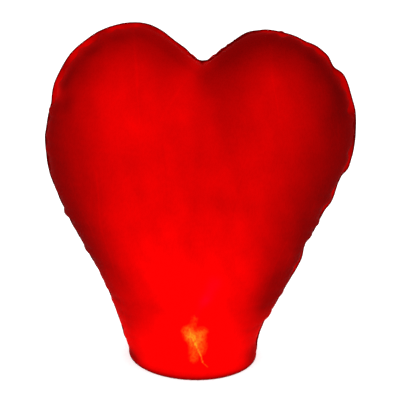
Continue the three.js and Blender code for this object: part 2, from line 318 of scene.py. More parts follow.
SIM_FRAMES = 26
CLOTH = {
    "quality": 5,
    "mass": 0.1,
    "air_damping": 4,
    "tension_stiffness": 40,
    "compression_stiffness": 40,
    "shear_stiffness": 20,
    "bending_stiffness": 14,
    "pin_stiffness": 8,
    "shrink_min": -0.002,  # extra paper at the middle of a panel
    "shrink_max": -0.045,  # and at its seam
    "use_pressure": True,
    "uniform_pressure_force": 1.2,
}
EXCESS_REACH = 0.09  # how far the seam's extra paper reaches in
SHAPE_HOLD = 0.36  # how firmly the middle of a panel keeps its shape
SEAM_HOLD = 0.75
FARTHEST_MOVE = 0.012

# Waves of the gathered paper along the seam, and of the loose paper in the middle
PLEAT_LENGTHS = (0.037, 0.058, 0.094)
PLEAT_HEIGHT = 0.0026
PLEAT_TOP = 0.024  # from the seam to where a pleat stands out most
LOOSE_FOLDS = ((9.0, 2.5), (17.0, 4.0), (31.0, 7.0))  # waves per metre across and up
LOOSE_HEIGHT = 0.0011


def weights(piece, name, values):
    group = piece.vertex_groups.new(name=name)
    for index, value in enumerate(values):
        group.add([index], float(value), "REPLACE")
    return group.name


def inflate(points, triangles, hold, fullness):
    """Points after a cloth simulation in which the paper has some excess and hot air fills it."""
    piece = make_mesh("paper_simulation", points, triangles)
    modifier = piece.modifiers.new("cloth", "CLOTH")
    cloth = modifier.settings
    for setting, value in CLOTH.items():
        setattr(cloth, setting, value)
    cloth.vertex_group_mass = weights(piece, "hold", hold)
    cloth.vertex_group_shrink = weights(piece, "excess", fullness)
    cloth.effector_weights.gravity = 0
    modifier.collision_settings.use_collision = False
    modifier.point_cache.frame_end = SIM_FRAMES
    scene = bpy.context.scene
    for step in range(1, SIM_FRAMES + 1):
        scene.frame_set(step)
    settled = piece.evaluated_get(bpy.context.evaluated_depsgraph_get()).data
    after = np.empty(len(points) * 3)
    settled.vertices.foreach_get("co", after)
    scene.frame_set(1)
    bpy.data.objects.remove(piece)
    move = after.reshape(-1, 3) - points
    length = np.linalg.norm(move, axis=1, keepdims=True)
    return points + move * np.minimum(1, FARTHEST_MOVE / np.maximum(length, 1e-9))


def gathered(points, seed):
    """The front panel with pleats fanning in from its seam and shallow folds in its middle."""
    random = np.random.default_rng(seed)
    along = heart.s * OUTLINE_LENGTH * heart.hand
    pleats = np.zeros(len(points))
    for length in PLEAT_LENGTHS:
        drift = 0.25 * np.sin(along * random.uniform(5, 9) + random.uniform(0, 6))
        pleats += np.sin(2 * math.pi * along / length + 3 * drift + random.uniform(0, 6))
    rise = heart.arc_to_seam / PLEAT_TOP
    strength = 0.45 + 0.55 * np.sin(along * 11 + random.uniform(0, 6)) ** 2
    strength *= smooth(heart.s, 0.01, 0.1) * (1 - 0.75 * smooth(heart.s, 0.82, 0.9))
    pleats *= PLEAT_HEIGHT * rise * np.exp(1 - rise) * strength
    folds = np.zeros(len(points))
    for across, up in LOOSE_FOLDS:
        tilt = random.uniform(-0.5, 0.5)
        bend = 0.6 * np.sin(up * points[:, 2] + random.uniform(0, 6))
        phase = across * (points[:, 0] + tilt * points[:, 2]) + bend
        folds += np.sin(2 * math.pi * phase / 2 + random.uniform(0, 6)) / len(LOOSE_FOLDS)
    folds *= LOOSE_HEIGHT * smooth(heart.arc_to_seam, 0.01, 0.08) * smooth(points[:, 2], 0.03, 0.15)
    return points + outward(points) * (pleats + folds)[:, None]


def outward(points):
    """Unit normals of the panel at its points."""
    corners = points[heart.triangles]
    facing = np.cross(corners[:, 1] - corners[:, 0], corners[:, 2] - corners[:, 0])
    normal = np.zeros_like(points)
    for k in range(3):
        np.add.at(normal, heart.triangles[:, k], facing)
    return unit(normal)


def paper_shapes():
    """The front and the back panel's points, joined along the seam while they are inflated."""
    front = gathered(heart.front(), 7)
    back = gathered(heart.front(), 8) * (1, -1, 1)
    back[heart.seam] = front[heart.seam]
    count = len(front)
    inner = np.setdiff1d(np.arange(count), heart.seam)
    joined = np.arange(count)
    joined[inner] = count + np.arange(len(inner))
    points = np.vstack((front, back[inner]))
    triangles = np.vstack((heart.triangles, joined[heart.triangles][:, ::-1]))
    hold = np.full(count, SHAPE_HOLD)
    hold[heart.seam] = SEAM_HOLD
    hold[heart.mouth] = 1
    fullness = np.exp(-heart.arc_to_seam / EXCESS_REACH)
    both = np.append(np.arange(count), inner)
    points = inflate(points, triangles, hold[both], fullness[both])
    points[heart.mouth] = front[heart.mouth]
    points[joined[heart.mouth]] = back[heart.mouth]
    points[:, 0] += sag_at(points[:, 2])
    return points[:count], points[joined]


# ---- Node helpers

class Signal:
    """What comes out of a shader node, to be worked on with + * and remap."""

    def __init__(self, shader, socket):
        self.shader = shader
        self.socket = socket

    def __add__(self, other):
        return self.shader.math("ADD", self, other)

    def __mul__(self, other):
        return self.shader.math("MULTIPLY", self, other)

    def remap(self, low, high, to_low=0, to_high=1, kind="SMOOTHSTEP"):
        """Carry low..high over to to_low..to_high, and hold it there beyond the two ends."""
        return self.shader.run("MapRange", (self, low, high, to_low, to_high), interpolation_type=kind)

    def vary(self, to_low, to_high):
        """Spread a noise, which mostly lies between 0.3 and 0.7, over another range."""
        return self.remap(0.3, 0.7, to_low, to_high)


class Shader:
    """A Principled material and short ways to add the nodes that drive it."""

    def __init__(self, name, **sockets):
        self.material = bpy.data.materials.new(name)
        self.material.use_nodes = True
        self.tree = self.material.node_tree
        self.principled = self.tree.nodes["Principled BSDF"]
        self.drive(**sockets)
        self.position = Signal(self, self.add("TexCoord").outputs["Object"])

    def add(self, kind, **settings):
        node = self.tree.nodes.new("ShaderNode" + kind)
        for setting, value in settings.items():
            setattr(node, setting, value)
        return node

    def feed(self, socket, value):
        if isinstance(value, Signal):
            self.tree.links.new(value.socket, socket)
        else:
            socket.default_value = value

    def run(self, kind, values, output=0, **settings):
        """Add a node, feed its sockets in order and give back one of its outputs."""
        node = self.add(kind, **settings)
        for socket, value in zip(node.inputs, values):
            self.feed(socket, value)
        return Signal(self, node.outputs[output])

    def math(self, operation, *values):
        return self.run("Math", values, operation=operation)

    def vector(self, operation, *values):
        output = "Value" if operation in ("LENGTH", "DOT_PRODUCT") else "Vector"
        return self.run("VectorMath", values, output, operation=operation)

    def stretched(self, scale):
        return self.vector("MULTIPLY", self.position, scale)

    def noise(self, scale, detail=3, roughness=0.5, position=None, output="Fac"):
        node = self.add("TexNoise")
        self.fill(node, Vector=position or self.position, Scale=scale, Detail=detail, Roughness=roughness)
        return Signal(self, node.outputs[output])

    def mix(self, factor, first, second):
        node = self.add("Mix", data_type="RGBA")
        colours = [socket for socket in node.inputs if socket.type == "RGBA"]
        for socket, value in zip([node.inputs["Factor"]] + colours, (factor, first, second)):
            self.feed(socket, value)
        return Signal(self, [socket for socket in node.outputs if socket.type == "RGBA"][0])

    def coats(self, colour, *coats):
        """Lay colours over one another, each as far as its amount says."""
        for amount, above in coats:
            colour = self.mix(amount, colour, (*above, 1))
        return colour

    def separate(self, vector=None):
        node = self.add("SeparateXYZ")
        self.feed(node.inputs[0], vector or self.position)
        return [Signal(self, socket) for socket in node.outputs]

    def attribute(self, name):
        return Signal(self, self.add("Attribute", attribute_name=name).outputs["Fac"])

    def bump(self, height, distance, strength):
        node = self.add("Bump")
        self.fill(node, Distance=distance, Strength=strength, Height=height)
        self.drive(Normal=Signal(self, node.outputs[0]))

    def fill(self, node, **sockets):
        for socket, value in sockets.items():
            self.feed(node.inputs[socket.replace("_", " ")], value)

    def drive(self, **sockets):
        self.fill(self.principled, **sockets)


# ---- Paper

# Colours of the paper's painted glow (red, and orange, amber and rose where the flame's glow is painted
# on it) and of its dyed fibres
RED = (1.0, 0.0, 0.0, 1)
ORANGE = (1.0, 0.15, 0.007, 1)
AMBER = (1.0, 0.34, 0.012, 1)
ROSE = (1.0, 0.0, 0.022, 1)
PALE_FIBRE = (0.08, 0.0004, 0.0004, 1)
DARK_FIBRE = (0.05, 0.0002, 0.0002, 1)

# Darkest and brightest light of the inside face, against the outside
INSIDE_LIGHT = (0.62, 0.92)
RIM_FADE = (-0.02, 0.085)  # from the seam: how far the glued margin's light reaches into the panels
CUT_LINE = (0.001, 0.0056)  # from the cut edge: where the dark line painted into its light starts to fade and ends
CUT_LIGHT = 0.08
# The flame's glow, painted on the paper where the flame shows through it: strokes as x and z of both
# ends, width and strength
FLAME_GLOW_STROKES = (
    ((-0.015, 0.149), (-0.01, 0.134), 0.028, 0.42),
    ((0.021, 0.148), (0.016, 0.13), 0.028, 0.36),
    ((-0.002, 0.131), (0.006, 0.11), 0.026, 0.6),
    ((0.004, 0.112), (0.003, 0.066), 0.028, 0.2),
    ((0.022, 0.122), (0.022, 0.09), 0.028, 0.2),
    ((0.002, 0.145), (0.012, 0.14), 0.022, 0.2),
    ((-0.01, 0.154), (-0.001, 0.13), 0.0056, 0.32),
    ((-0.001, 0.13), (0.011, 0.104), 0.0056, 0.46),
    ((0.011, 0.104), (0.021, 0.076), 0.005, 0.52),
    ((0.021, 0.076), (0.03, 0.056), 0.0046, 0.34),
    ((0.03, 0.056), (0.042, 0.038), 0.004, 0.22),
    ((-0.002, 0.156), (0.002, 0.186), 0.022, 0.1),
)
# A paler streak of painted glow above it
GLOW_TRAIL_STROKES = (
    ((0.005, 0.19), (0.029, 0.24), 0.028, 0.14),
    ((0.029, 0.24), (0.052, 0.29), 0.05, 0.3),
)
# Fold lines left in the paper from when it was packed flat, as bumps and as painted highlight lines on
# the front (painted shade where the strength is below 0): x and z of both ends, width and strength
CREASES_AND_LIGHT = (
    ((-0.178, 0.905), (-0.16, 0.78), 0.009, 0.1),
    ((-0.16, 0.78), (-0.152, 0.69), 0.005, 0.07),
    ((0.168, 0.885), (0.176, 0.8), 0.008, 0.07),
    ((0.176, 0.8), (0.196, 0.72), 0.005, 0.07),
    ((-0.262, 0.56), (-0.246, 0.4), 0.007, 0.12),
    ((-0.246, 0.4), (-0.196, 0.25), 0.006, 0.1),
    ((-0.285, 0.42), (-0.215, 0.235), 0.004, 0.12),
    ((-0.33, 0.52), (-0.275, 0.39), 0.004, 0.12),
    ((-0.2, 0.21), (-0.172, 0.075), 0.0045, 0.1),
    ((0.272, 0.4), (0.215, 0.255), 0.0045, 0.16),
    ((0.236, 0.39), (0.178, 0.23), 0.006, 0.12),
    ((0.318, 0.56), (0.29, 0.42), 0.005, 0.12),
    ((0.196, 0.19), (0.176, 0.085), 0.0045, 0.12),
    ((0.345, 0.73), (0.362, 0.62), 0.005, 0.14),
    ((0.362, 0.53), (0.374, 0.5), 0.008, -0.24),
    ((-0.04, 0.79), (-0.1, 0.7), 0.007, 0.06),
    ((0.11, 0.56), (0.085, 0.45), 0.006, -0.05),
    ((-0.09, 0.64), (-0.08, 0.54), 0.008, -0.05),
)


def bent_place(shader, scale, amount):
    """The position in the front plane, x and z, bent a little by noise."""
    shift = shader.vector("SUBTRACT", shader.noise(scale, detail=2, output="Color"), (0.5, 0.5, 0.5))
    shift = shader.vector("MULTIPLY", shift, (amount, 0, amount))
    return shader.vector("MULTIPLY", shader.vector("ADD", shader.position, shift), (1, 0, 1))


def stroke_sum(shader, place, strokes):
    """Sum of soft strokes at a place, each fading out over its width."""
    total = 0
    unused = (0, 0, 0)
    for (x0, z0), (x1, z1), width, strength in strokes:
        along = (x1 - x0, 0, z1 - z0)
        square = along[0] ** 2 + along[2] ** 2
        offset = shader.vector("SUBTRACT", place, (x0, 0, z0))
        part = shader.vector("DOT_PRODUCT", offset, along).remap(0, square, kind="LINEAR")
        nearest = shader.vector("SCALE", along, unused, unused, part)
        away = shader.vector("LENGTH", shader.vector("SUBTRACT", offset, nearest))
        fade = away.remap(0, width, math.sqrt(abs(strength)), 0)
        total = shader.math("MULTIPLY_ADD", fade, fade * math.copysign(1, strength), total)
    return total


def rim_light(shader, light):
    """The glued margin's painted bright stretches, with a thin dark line painted into its light along its
    cut edge.
    """
    fade = shader.attribute("from_seam").remap(*RIM_FADE, 1, 0) * shader.noise(38).vary(0.75, 1.1)
    brighter = shader.math("SMOOTH_MAX", light, shader.attribute("rim") * fade, 0.2)
    return brighter * shader.attribute("from_cut").remap(*CUT_LINE, CUT_LIGHT, 1)


def painted_flame_glow(shader):
    """Colour of the paper's painted glow where the flame shows through it, and of the paler streak above
    it.
    """
    place = bent_place(shader, 30, 0.013)
    wisps = shader.noise(140, detail=4, roughness=0.65, position=shader.stretched((1.2, 0.2, 0.8)))
    flame = stroke_sum(shader, place, FLAME_GLOW_STROKES) * wisps.vary(0.36, 1.46)
    glow_trail = stroke_sum(shader, place, GLOW_TRAIL_STROKES)
    colour = shader.mix(glow_trail.remap(0, 1, 0, 0.9), RED, ROSE)
    colour = shader.mix(flame.remap(0.02, 0.62, kind="LINEAR"), colour, ORANGE)
    return shader.mix(flame.remap(0.6, 1.35), colour, AMBER)


def paper_material(name, flame_glow_painted):
    """Dyed tissue paper whose light from inside is painted as emission: its brightness comes with the
    mesh, its fibres from noise.
    """
    shader = Shader(name, Specular_IOR_Level=0.004)
    cloud = shader.noise(15).vary(0.95, 1.05)
    bands = shader.noise(22, position=shader.stretched((1, 1, 0.35))).vary(0.965, 1.035)
    fibre = shader.noise(300, detail=4, roughness=0.7, position=shader.stretched((1, 1, 0.3)))
    creases_and_light = stroke_sum(shader, bent_place(shader, 9, 0.016), CREASES_AND_LIGHT)
    on_front = shader.math("LESS_THAN", shader.separate()[1], 0)
    # Painted light: the glow from the mesh, made uneven by noise, and lighter (darker where a crease's
    # strength is below 0) along the creases on the front
    glow = shader.attribute("glow") * cloud * bands * fibre.vary(0.985, 1.015) * (creases_and_light * on_front + 1)
    # Only the outside paper has the flame's glow painted on it
    if flame_glow_painted:
        colour = painted_flame_glow(shader)
    else:
        colour = RED
        glow *= shader.noise(9, detail=5, roughness=0.6).vary(*INSIDE_LIGHT)
    shader.drive(
        Base_Color=shader.mix(fibre.remap(0.35, 0.65), DARK_FIBRE, PALE_FIBRE),
        Roughness=fibre.vary(0.7, 0.9),
        Emission_Color=colour,
        Emission_Strength=rim_light(shader, glow),
    )
    shader.bump(shader.noise(55, detail=4) + fibre * 0.3 + creases_and_light * 1.5, 0.0007, 0.5)
    return shader.material


# Light of the paper by height: 1 is as bright as it gets
HEIGHTS = (0, 0.005, 0.012, 0.03, 0.08, 0.3, 0.4, 0.5, 0.6, 0.7, 0.76, 0.8, 0.85, 0.92)
LIGHT = {
    -1: (0.05, 0.24, 0.66, 0.9, 1.04, 0.97, 0.81, 0.69, 0.63, 0.64, 0.67, 0.63, 0.58, 0.48),
    1: (0.05, 0.24, 0.66, 0.9, 1.04, 0.94, 0.75, 0.63, 0.58, 0.55, 0.55, 0.55, 0.49, 0.34),
}
LEFT_END, RIGHT_START = -0.07, 0.09  # x between which the left half's light turns into the right's
# How far from the seam the shade begins, and how deep it is at the seam, by height
SHADE_HEIGHTS = (0, 0.1, 0.2, 0.3, 0.4, 0.6, 0.8, 0.92)
SHADE_SPAN = {
    -1: (0.07, 0.14, 0.2, 0.2, 0.22, 0.23, 0.15, 0.11),
    1: (0.06, 0.12, 0.19, 0.21, 0.23, 0.28, 0.16, 0.12),
}
SHADE_DEPTH = {
    -1: (0.3, 0.44, 0.7, 0.9, 0.91, 0.8, 0.7, 0.6),
    1: (0.3, 0.5, 0.86, 0.9, 0.9, 0.86, 0.8, 0.74),
}
# Painted shade just inside the seam, where the gathered paper dips: how much darker it is there, by rib
VALLEY_RIBS = (0, 0.3, 0.5, 0.59, 0.72, 0.79, 0.87, 0.94, 0.98, 1)
VALLEY_SHADE = {
    -1: (0.05, 0.12, 0.15, 0.5, 0.42, 0.22, 0.15, 0.3, 0.12, 0),
    1: (0.05, 0.12, 0.2, 0.48, 0.58, 0.22, 0.05, 0.08, 0.05, 0),
}
VALLEY_PLACE = 0.024
VALLEY_SPREAD = 0.013
# Spots of painted shade and painted light: x, z, half width, half height, and how much darker (or, below
# 0, brighter)
LIGHT_AND_SHADE_SPOTS = (
    (0.034, 0.798, 0.034, 0.045, 0.16),
    (-0.014, 0.775, 0.05, 0.085, -0.85),
    (-0.012, 0.815, 0.062, 0.036, -0.55),
    (-0.165, 0.68, 0.045, 0.04, -0.2),
    (-0.17, 0.02, 0.024, 0.024, 0.66),
    (0.171, 0.026, 0.022, 0.034, 0.62),
    (0.19, 0.215, 0.026, 0.052, 0.3),
    (-0.165, 0.15, 0.03, 0.04, 0.14),
    (-0.346, 0.725, 0.02, 0.028, 0.4),
    (-0.368, 0.737, 0.02, 0.018, -2.1),
    (-0.362, 0.792, 0.014, 0.02, -0.5),
    (-0.32, 0.848, 0.02, 0.02, -0.45),
    (-0.398, 0.706, 0.012, 0.014, 0.55),
    (0.35, 0.745, 0.024, 0.07, 0.46),
    (0.3, 0.815, 0.036, 0.022, 0.24),
    (0.353, 0.801, 0.014, 0.022, -0.9),
    (0.384, 0.54, 0.011, 0.022, -1.1),
    (0.35, 0.453, 0.012, 0.032, -1.2),
    (-0.3, 0.8, 0.05, 0.024, 0.14),
    (-0.215, 0.505, 0.04, 0.03, 0.07),
    (-0.235, 0.44, 0.04, 0.035, -0.15),
    (0.32, 0.44, 0.02, 0.04, -0.45),
    (0.255, 0.33, 0.016, 0.04, -0.3),
    (0.212, 0.276, 0.022, 0.034, 0.36),
    (-0.112, 0.204, 0.034, 0.03, 0.14),
    (0.06, 0.5, 0.06, 0.03, 0.12),
    (0.158, 0.48, 0.05, 0.05, 0.05),
    (-0.1, 0.56, 0.06, 0.03, -0.05),
)


def brightness(points, from_seam, s):
    """Light of the paper at each point: hot at the bottom, dim along the seam and towards the top."""
    x, z = points[:, 0], points[:, 2]
    right = smooth(x, LEFT_END, RIGHT_START)
    light = (1 - right) * np.interp(z, HEIGHTS, LIGHT[-1]) + right * np.interp(z, HEIGHTS, LIGHT[1])
    shades = []
    for side in (-1, 1):
        span = np.interp(z, SHADE_HEIGHTS, SHADE_SPAN[side])
        depth = np.interp(z, SHADE_HEIGHTS, SHADE_DEPTH[side])
        uneven = 0.85 + 0.3 * np.sin(75 * s + 9 * np.sin(7 * s))
        # Painted shade in the dip just inside the seam
        valley_shade = np.interp(s, VALLEY_RIBS, VALLEY_SHADE[side]) * uneven
        valley_shade *= np.exp(-((from_seam - VALLEY_PLACE) / VALLEY_SPREAD) ** 2)
        shades.append(depth * (1 - smooth(from_seam, 0.01, span)) + (1 - depth) * valley_shade)
    light *= 1 - (1 - right) * shades[0] - right * shades[1]
    # Painted shade and painted light in spots
    for place_x, place_z, half_width, half_height, strength in LIGHT_AND_SHADE_SPOTS:
        away = ((x - place_x) / half_width) ** 2 + ((z - place_z) / half_height) ** 2
        light *= 1 - strength * np.exp(-away)
    return np.clip(light, 0.03, 1.2)


RELIEF_ROUNDS = 14  # of smoothing
WRINKLE_LIGHT = (0.045, 0.34)  # how much wrinkles change the light, in the middle and at the seam
WRINKLE_FADE = 0.09
WRINKLE_HEIGHT = 0.0012
FAR = 0.1  # from the seam or the cut edge, where neither shows
DOUBLED_LIGHT = 0.85  # light through the two layers of the glued margin
FIN_ROWS = 7
FIN_WAVES = (0.023, 0.037, 0.061)  # lengths of the small waves in the glued margin
FIN_WAVE_HEIGHT = 0.0014
# Near the cleft: s from which the margin closes over it, loses its waves, and points straight up
CLOSING_S, CALM_S, UPWARD_S = 0.9, 0.95, 0.965
CLEFT_WEB = 0.0045  # height of the margin's edge at the cleft, above the cleft itself
CLEFT_ROUNDING = 0.003

# Turn of the paper round the ring: offset from the mouth's radius, and height
FOLD = (
    (0.0, 0.01), (0.0, 0.006), (-0.0002, 0.003), (-0.001, 0.001), (-0.0026, 0.0002),
    (-0.005, 0.0002), (-0.0066, 0.001), (-0.0074, 0.003), (-0.0076, 0.0065), (-0.0076, 0.01),
)


def relief(points):
    """How far each point of a panel stands out from the smoothed surface round it, in metres."""
    edges = np.vstack([heart.triangles[:, ends] for ends in ((0, 1), (1, 2), (2, 0))])
    edges = np.vstack((edges, edges[:, ::-1]))
    shares = np.bincount(edges[:, 0], minlength=len(points))[:, None]
    calm = points.copy()
    for _ in range(RELIEF_ROUNDS):
        total = np.zeros_like(calm)
        np.add.at(total, edges[:, 0], calm[edges[:, 1]])
        calm = 0.4 * calm + 0.6 * total / np.maximum(shares, 1)
    return np.sum((points - calm) * outward(points), axis=1)


def paint(piece, **values):
    for name, value in values.items():
        attribute = piece.data.attributes.new(name, "FLOAT", "POINT")
        attribute.data.foreach_set("value", value)


def settle(piece, materials, nodes, body="envelope"):
    for material in materials:
        piece.data.materials.append(material)
    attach(piece, body)
    if nodes:
        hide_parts(*nodes)


def finish_paper(piece, materials, nodes, layers, offset):
    thickness = piece.modifiers.new("paper_thickness", "SOLIDIFY")
    thickness.thickness = layers * PAPER_THICKNESS
    thickness.offset = offset
    thickness.material_offset = 1
    settle(piece, materials, nodes)


def paper_panel(name, nodes, shape, facing, materials):
    """One sheet of paper from the seam down to the mouth and round the ring."""
    faces = [tuple(t) for t in heart.triangles]
    rings = []
    row = heart.mouth
    for offset, z in FOLD:
        ring = shape[heart.mouth] * (1 + offset / MOUTH_RADIUS)
        ring[:, 2] = z
        below = np.arange(len(row)) + len(shape) + len(rings) * len(row)
        faces += quads(below, row)
        rings.append(ring)
        row = below
    if facing > 0:
        faces = [face[::-1] for face in faces]
    points = np.vstack([shape] + rings)
    piece = make_mesh(name, points, faces)

    def and_fold(values, on_fold):
        return np.append(values, np.full(len(points) - len(shape), on_fold))

    gathering = np.exp(-heart.arc_to_seam / WRINKLE_FADE)
    contrast = WRINKLE_LIGHT[0] + (WRINKLE_LIGHT[1] - WRINKLE_LIGHT[0]) * gathering
    # Painted shade and highlight: the light is raised where the paper stands out from the smoothed
    # surface and lowered where it sinks in
    wrinkle_shading = 1 + contrast * np.clip(-facing * relief(shape) / WRINKLE_HEIGHT, -1, 1)
    light = brightness(points, and_fold(heart.from_seam, FAR), and_fold(heart.s, 0))
    paint(
        piece,
        glow=light * and_fold(wrinkle_shading, 1),
        rim=and_fold(margin_at(heart.s, heart.hand)[1], 0),
        from_seam=and_fold(heart.arc_to_seam, FAR),
        from_cut=np.full(len(points), FAR),
    )
    finish_paper(piece, materials, nodes, 1, -1)
    return piece


def calmed(line, rounds):
    """A line of points with its small kinks smoothed away and its ends kept."""
    line = line.copy()
    for _ in range(rounds):
        line[1:-1] = line[1:-1] / 2 + (line[:-2] + line[2:]) / 4
    return line


def fin_size(s, hand):
    """Waves, width and light of the glued margin at s."""
    along = s * OUTLINE_LENGTH
    random = np.random.default_rng(20 + hand)
    wave, width = np.zeros_like(s), np.ones_like(s)
    for length in FIN_WAVES:
        wave += np.sin(along / length * 2 * math.pi + random.uniform(0, 6)) * length / FIN_WAVES[-1]
        width += 0.06 * np.sin(along / length * 1.7 + random.uniform(0, 6))
    at_cleft = smooth(s, CALM_S, 1)
    wave *= FIN_WAVE_HEIGHT * (1 - at_cleft)
    width *= SEAM_MARGIN * (0.15 + 0.85 * smooth(along, 0, 0.04)) * (1 - 0.6 * at_cleft)
    extra, light = margin_at(s, np.full(len(s), hand))
    return wave, width + extra, light


def seam_fin(name, node, hand, shape, material):
    """The glued margin outside the seam: two layers stuck together, gathered into small waves."""
    cleft = len(heart.seam) // 2
    ids = heart.seam[:cleft + 1] if hand > 0 else heart.seam[cleft:][::-1]
    s = heart.s[ids]
    wave, width, light = fin_size(s, hand)
    line = shape[ids][:, (0, 2)]
    tangent = unit(np.gradient(calmed(line, 3), axis=0))
    away = np.column_stack((tangent[:, 1], -tangent[:, 0])) * hand
    upward = smooth(s, UPWARD_S, 1)[:, None]
    away = away * (1 - upward) + np.array((0, 1)) * upward
    parts = np.linspace(0, 1, FIN_ROWS)
    rows = []
    for part in parts:
        x, z = (line + away * part * width[:, None]).T
        x = hand * np.maximum(hand * x, hand * line[-1, 0])
        web = line[:, 1] + part * (CLEFT_Z + CLEFT_WEB - line[:, 1])
        above = np.hypot(z - web, part * CLEFT_ROUNDING)
        z = np.where(s > CLOSING_S, (z + web + above) / 2, z)
        rows.append(np.column_stack((x, wave * part ** 1.5, z)))
    points = np.vstack(rows)
    grid = np.arange(len(points)).reshape(FIN_ROWS, -1)
    faces = [quad[::hand] for row, outer in zip(grid, grid[1:]) for quad in quads(row, outer)]
    piece = make_mesh(name, points, faces)
    nothing = np.zeros(len(points))
    paint(
        piece,
        glow=DOUBLED_LIGHT * brightness(points, nothing, np.tile(s, FIN_ROWS)),
        rim=np.tile(light, FIN_ROWS),
        from_seam=nothing,
        from_cut=np.outer(1 - parts, width).ravel(),
    )
    finish_paper(piece, (material, material), (node,), 2, 0)
    return piece


# ---- Mouth: bamboo ring, bindings and wires

RING_RADIUS = 0.177
STRIP_WIDTH = 0.003
STRIP_STEPS = 300
STRIP_CORNER = 0.0007
LAP_ANGLE = 0.34
LAP_CENTRE = 1.4
THINNING = 0.04  # angle over which the strip thins before it laps
NODES_ROUND = 2.5  # half the number of bamboo nodes in the hoop
NODE_WIDTH = 0.04
NODE_SWELL = 0.0003
WRAP_PARTS = 6  # points on each corner of a turn round the strip
BINDING_TURNS = 5.6
BINDING_PITCH = 0.00125
BINDING_PLACE = 0.275  # of the lap, to either side of its middle
STRIP_BOTTOM, STRIP_TOP = (corner[2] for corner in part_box("bamboo_ring"))
DOME_ANGLES = (0.02, 0.5, 1)  # from a wire's tip
WIRE_RADIUS = 0.0006
THREAD_RADIUS = 0.00042
CLEARANCE = 0.0003
WIRE_TURN = math.radians(22)
WIRE_Z = STRIP_TOP + CLEARANCE + WIRE_RADIUS
WIRE_REACH = RING_RADIUS - 0.0066  # where the straight part ends and the wrapping starts
WIRE_TURNS = 3
WIRE_PITCH = 0.0017
WIRE_POINTS = 120
WIRE_RIPPLE = 0.00022
CROSSING_LIFT = 2 * WIRE_RADIUS + CLEARANCE
HAIRPIN_BEND = 0.0015
PRONG_SPACING = 0.014
PRONG_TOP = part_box("fuel_holder_wire")[1][2]
FUEL_SIDE = 0.062
FUEL_CORNER = 0.003
FUEL_HOLE = 0.0014
FUEL_SHEETS = 5
FUEL_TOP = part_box(f"fuel_sheet_{FUEL_SHEETS}")[1][2]


def on_circle(radius, angle, z):
    return (radius * math.cos(angle), radius * math.sin(angle), z)


def tube(name, path, radius, sides=12, ridge=0, strands=0, twist=0):
    """A round solid along a path, with domed ends. Its ridges wind round it, as strands do on thread."""
    path = np.array(path)
    along = unit(np.gradient(path, axis=0))
    run = np.append(0, np.cumsum(np.linalg.norm(np.diff(path, axis=0), axis=1)))
    angles = np.linspace(0, 2 * math.pi, sides, endpoint=False)[:, None]
    normal = np.cross(along[0], (0.3, 0.5, 0.8))
    circles = []
    for direction, distance in zip(along, run):
        normal = normal - direction * np.dot(normal, direction)
        normal /= np.linalg.norm(normal)
        across = np.cross(direction, normal)
        swell = 1 + ridge * np.cos(strands * (angles - twist * distance))
        circles.append(radius * swell * (np.cos(angles) * normal + np.sin(angles) * across))
    dome = [(radius * math.cos(t), math.sin(t)) for t in DOME_ANGLES]
    start = [path[0] + size * circles[0] - out * along[0] for out, size in dome]
    end = [path[-1] + size * circles[-1] + out * along[-1] for out, size in dome[::-1]]
    return make_mesh(name, *loft(start + [p + circle for p, circle in zip(path, circles)] + end))


def loft(rings):
    """Points and faces of a closed solid through rings of equally many points, with flat end faces."""
    points = np.vstack(rings)
    rows = np.arange(len(points)).reshape(len(rings), -1)
    faces = [face for row, following in zip(rows, rows[1:]) for face in quads(row, following, True)]
    return points, faces + [tuple(rows[0][::-1]), tuple(rows[-1])]


def bamboo_material():
    """Split bamboo: long grain round the hoop, blotches and dark nodes."""
    shader = Shader("split_bamboo", Specular_IOR_Level=0.4)
    x, y, z = shader.separate()
    angle = shader.math("ARCTAN2", y, x)
    grain_place = shader.run("CombineXYZ", (angle * (9 * RING_RADIUS), z * 900, 0))
    grain = shader.noise(1.6, detail=5, roughness=0.65, position=grain_place)
    node = shader.math("ABSOLUTE", shader.math("SINE", angle * NODES_ROUND))
    colour = shader.coats(
        (0.5, 0.33, 0.13, 1),
        (grain.vary(0, 1), (0.74, 0.57, 0.3)),
        (shader.noise(30).remap(0.5, 0.75, 0, 0.5), (0.42, 0.3, 0.12)),
        (node.remap(0, 0.05, 0.7, 0), (0.24, 0.14, 0.05)),
    )
    shader.drive(Base_Color=colour, Roughness=grain.remap(0.2, 0.8, 0.38, 0.62))
    shader.bump(grain, 0.0002, 0.6)
    return shader.material


def strip_section(inside, outside, angle, swell):
    """Rounded rectangle of the strip's section at an angle of the ring."""
    corner = min(STRIP_CORNER, (outside - inside) * 0.3)
    middle_r, middle_z = (inside + outside) / 2, (STRIP_BOTTOM + STRIP_TOP) / 2
    half_r, half_z = (outside - inside) / 2 - corner, (STRIP_TOP - STRIP_BOTTOM) / 2 - corner
    points = []
    for quarter, (right, up) in enumerate(((1, 1), (-1, 1), (-1, -1), (1, -1))):
        for bend in math.pi / 2 * (quarter + np.linspace(0, 1, 4)):
            radius = middle_r + right * half_r + (corner + swell) * math.cos(bend)
            points.append(on_circle(radius, angle, middle_z + up * half_z + corner * math.sin(bend)))
    return np.array(points)


def bamboo_ring(material):
    """The split strip bent into a hoop, its nodes a little swollen and its two ends lapped."""
    sweep = 2 * math.pi + LAP_ANGLE
    rings = []
    for turned in np.linspace(0, sweep, STRIP_STEPS + 1):
        angle = LAP_CENTRE - LAP_ANGLE / 2 + turned
        at_start = np.clip((LAP_ANGLE + THINNING - turned) / THINNING, 0, 1)
        at_end = np.clip((turned - sweep + LAP_ANGLE + THINNING) / THINNING, 0, 1)
        outside = RING_RADIUS + STRIP_WIDTH / 2 * (1 - at_start) - CLEARANCE / 2 * at_start
        inside = RING_RADIUS - STRIP_WIDTH / 2 * (1 - at_end) + CLEARANCE / 2 * at_end
        node = math.exp(-(math.sin(NODES_ROUND * angle) / NODE_WIDTH) ** 2)
        swell = NODE_SWELL * node * (1 - at_start) * (1 - at_end)
        rings.append(strip_section(inside, outside, angle, swell)[::-1])
    settle(make_mesh("bamboo_hoop", *loft(rings)), [material], ["bamboo_ring"])


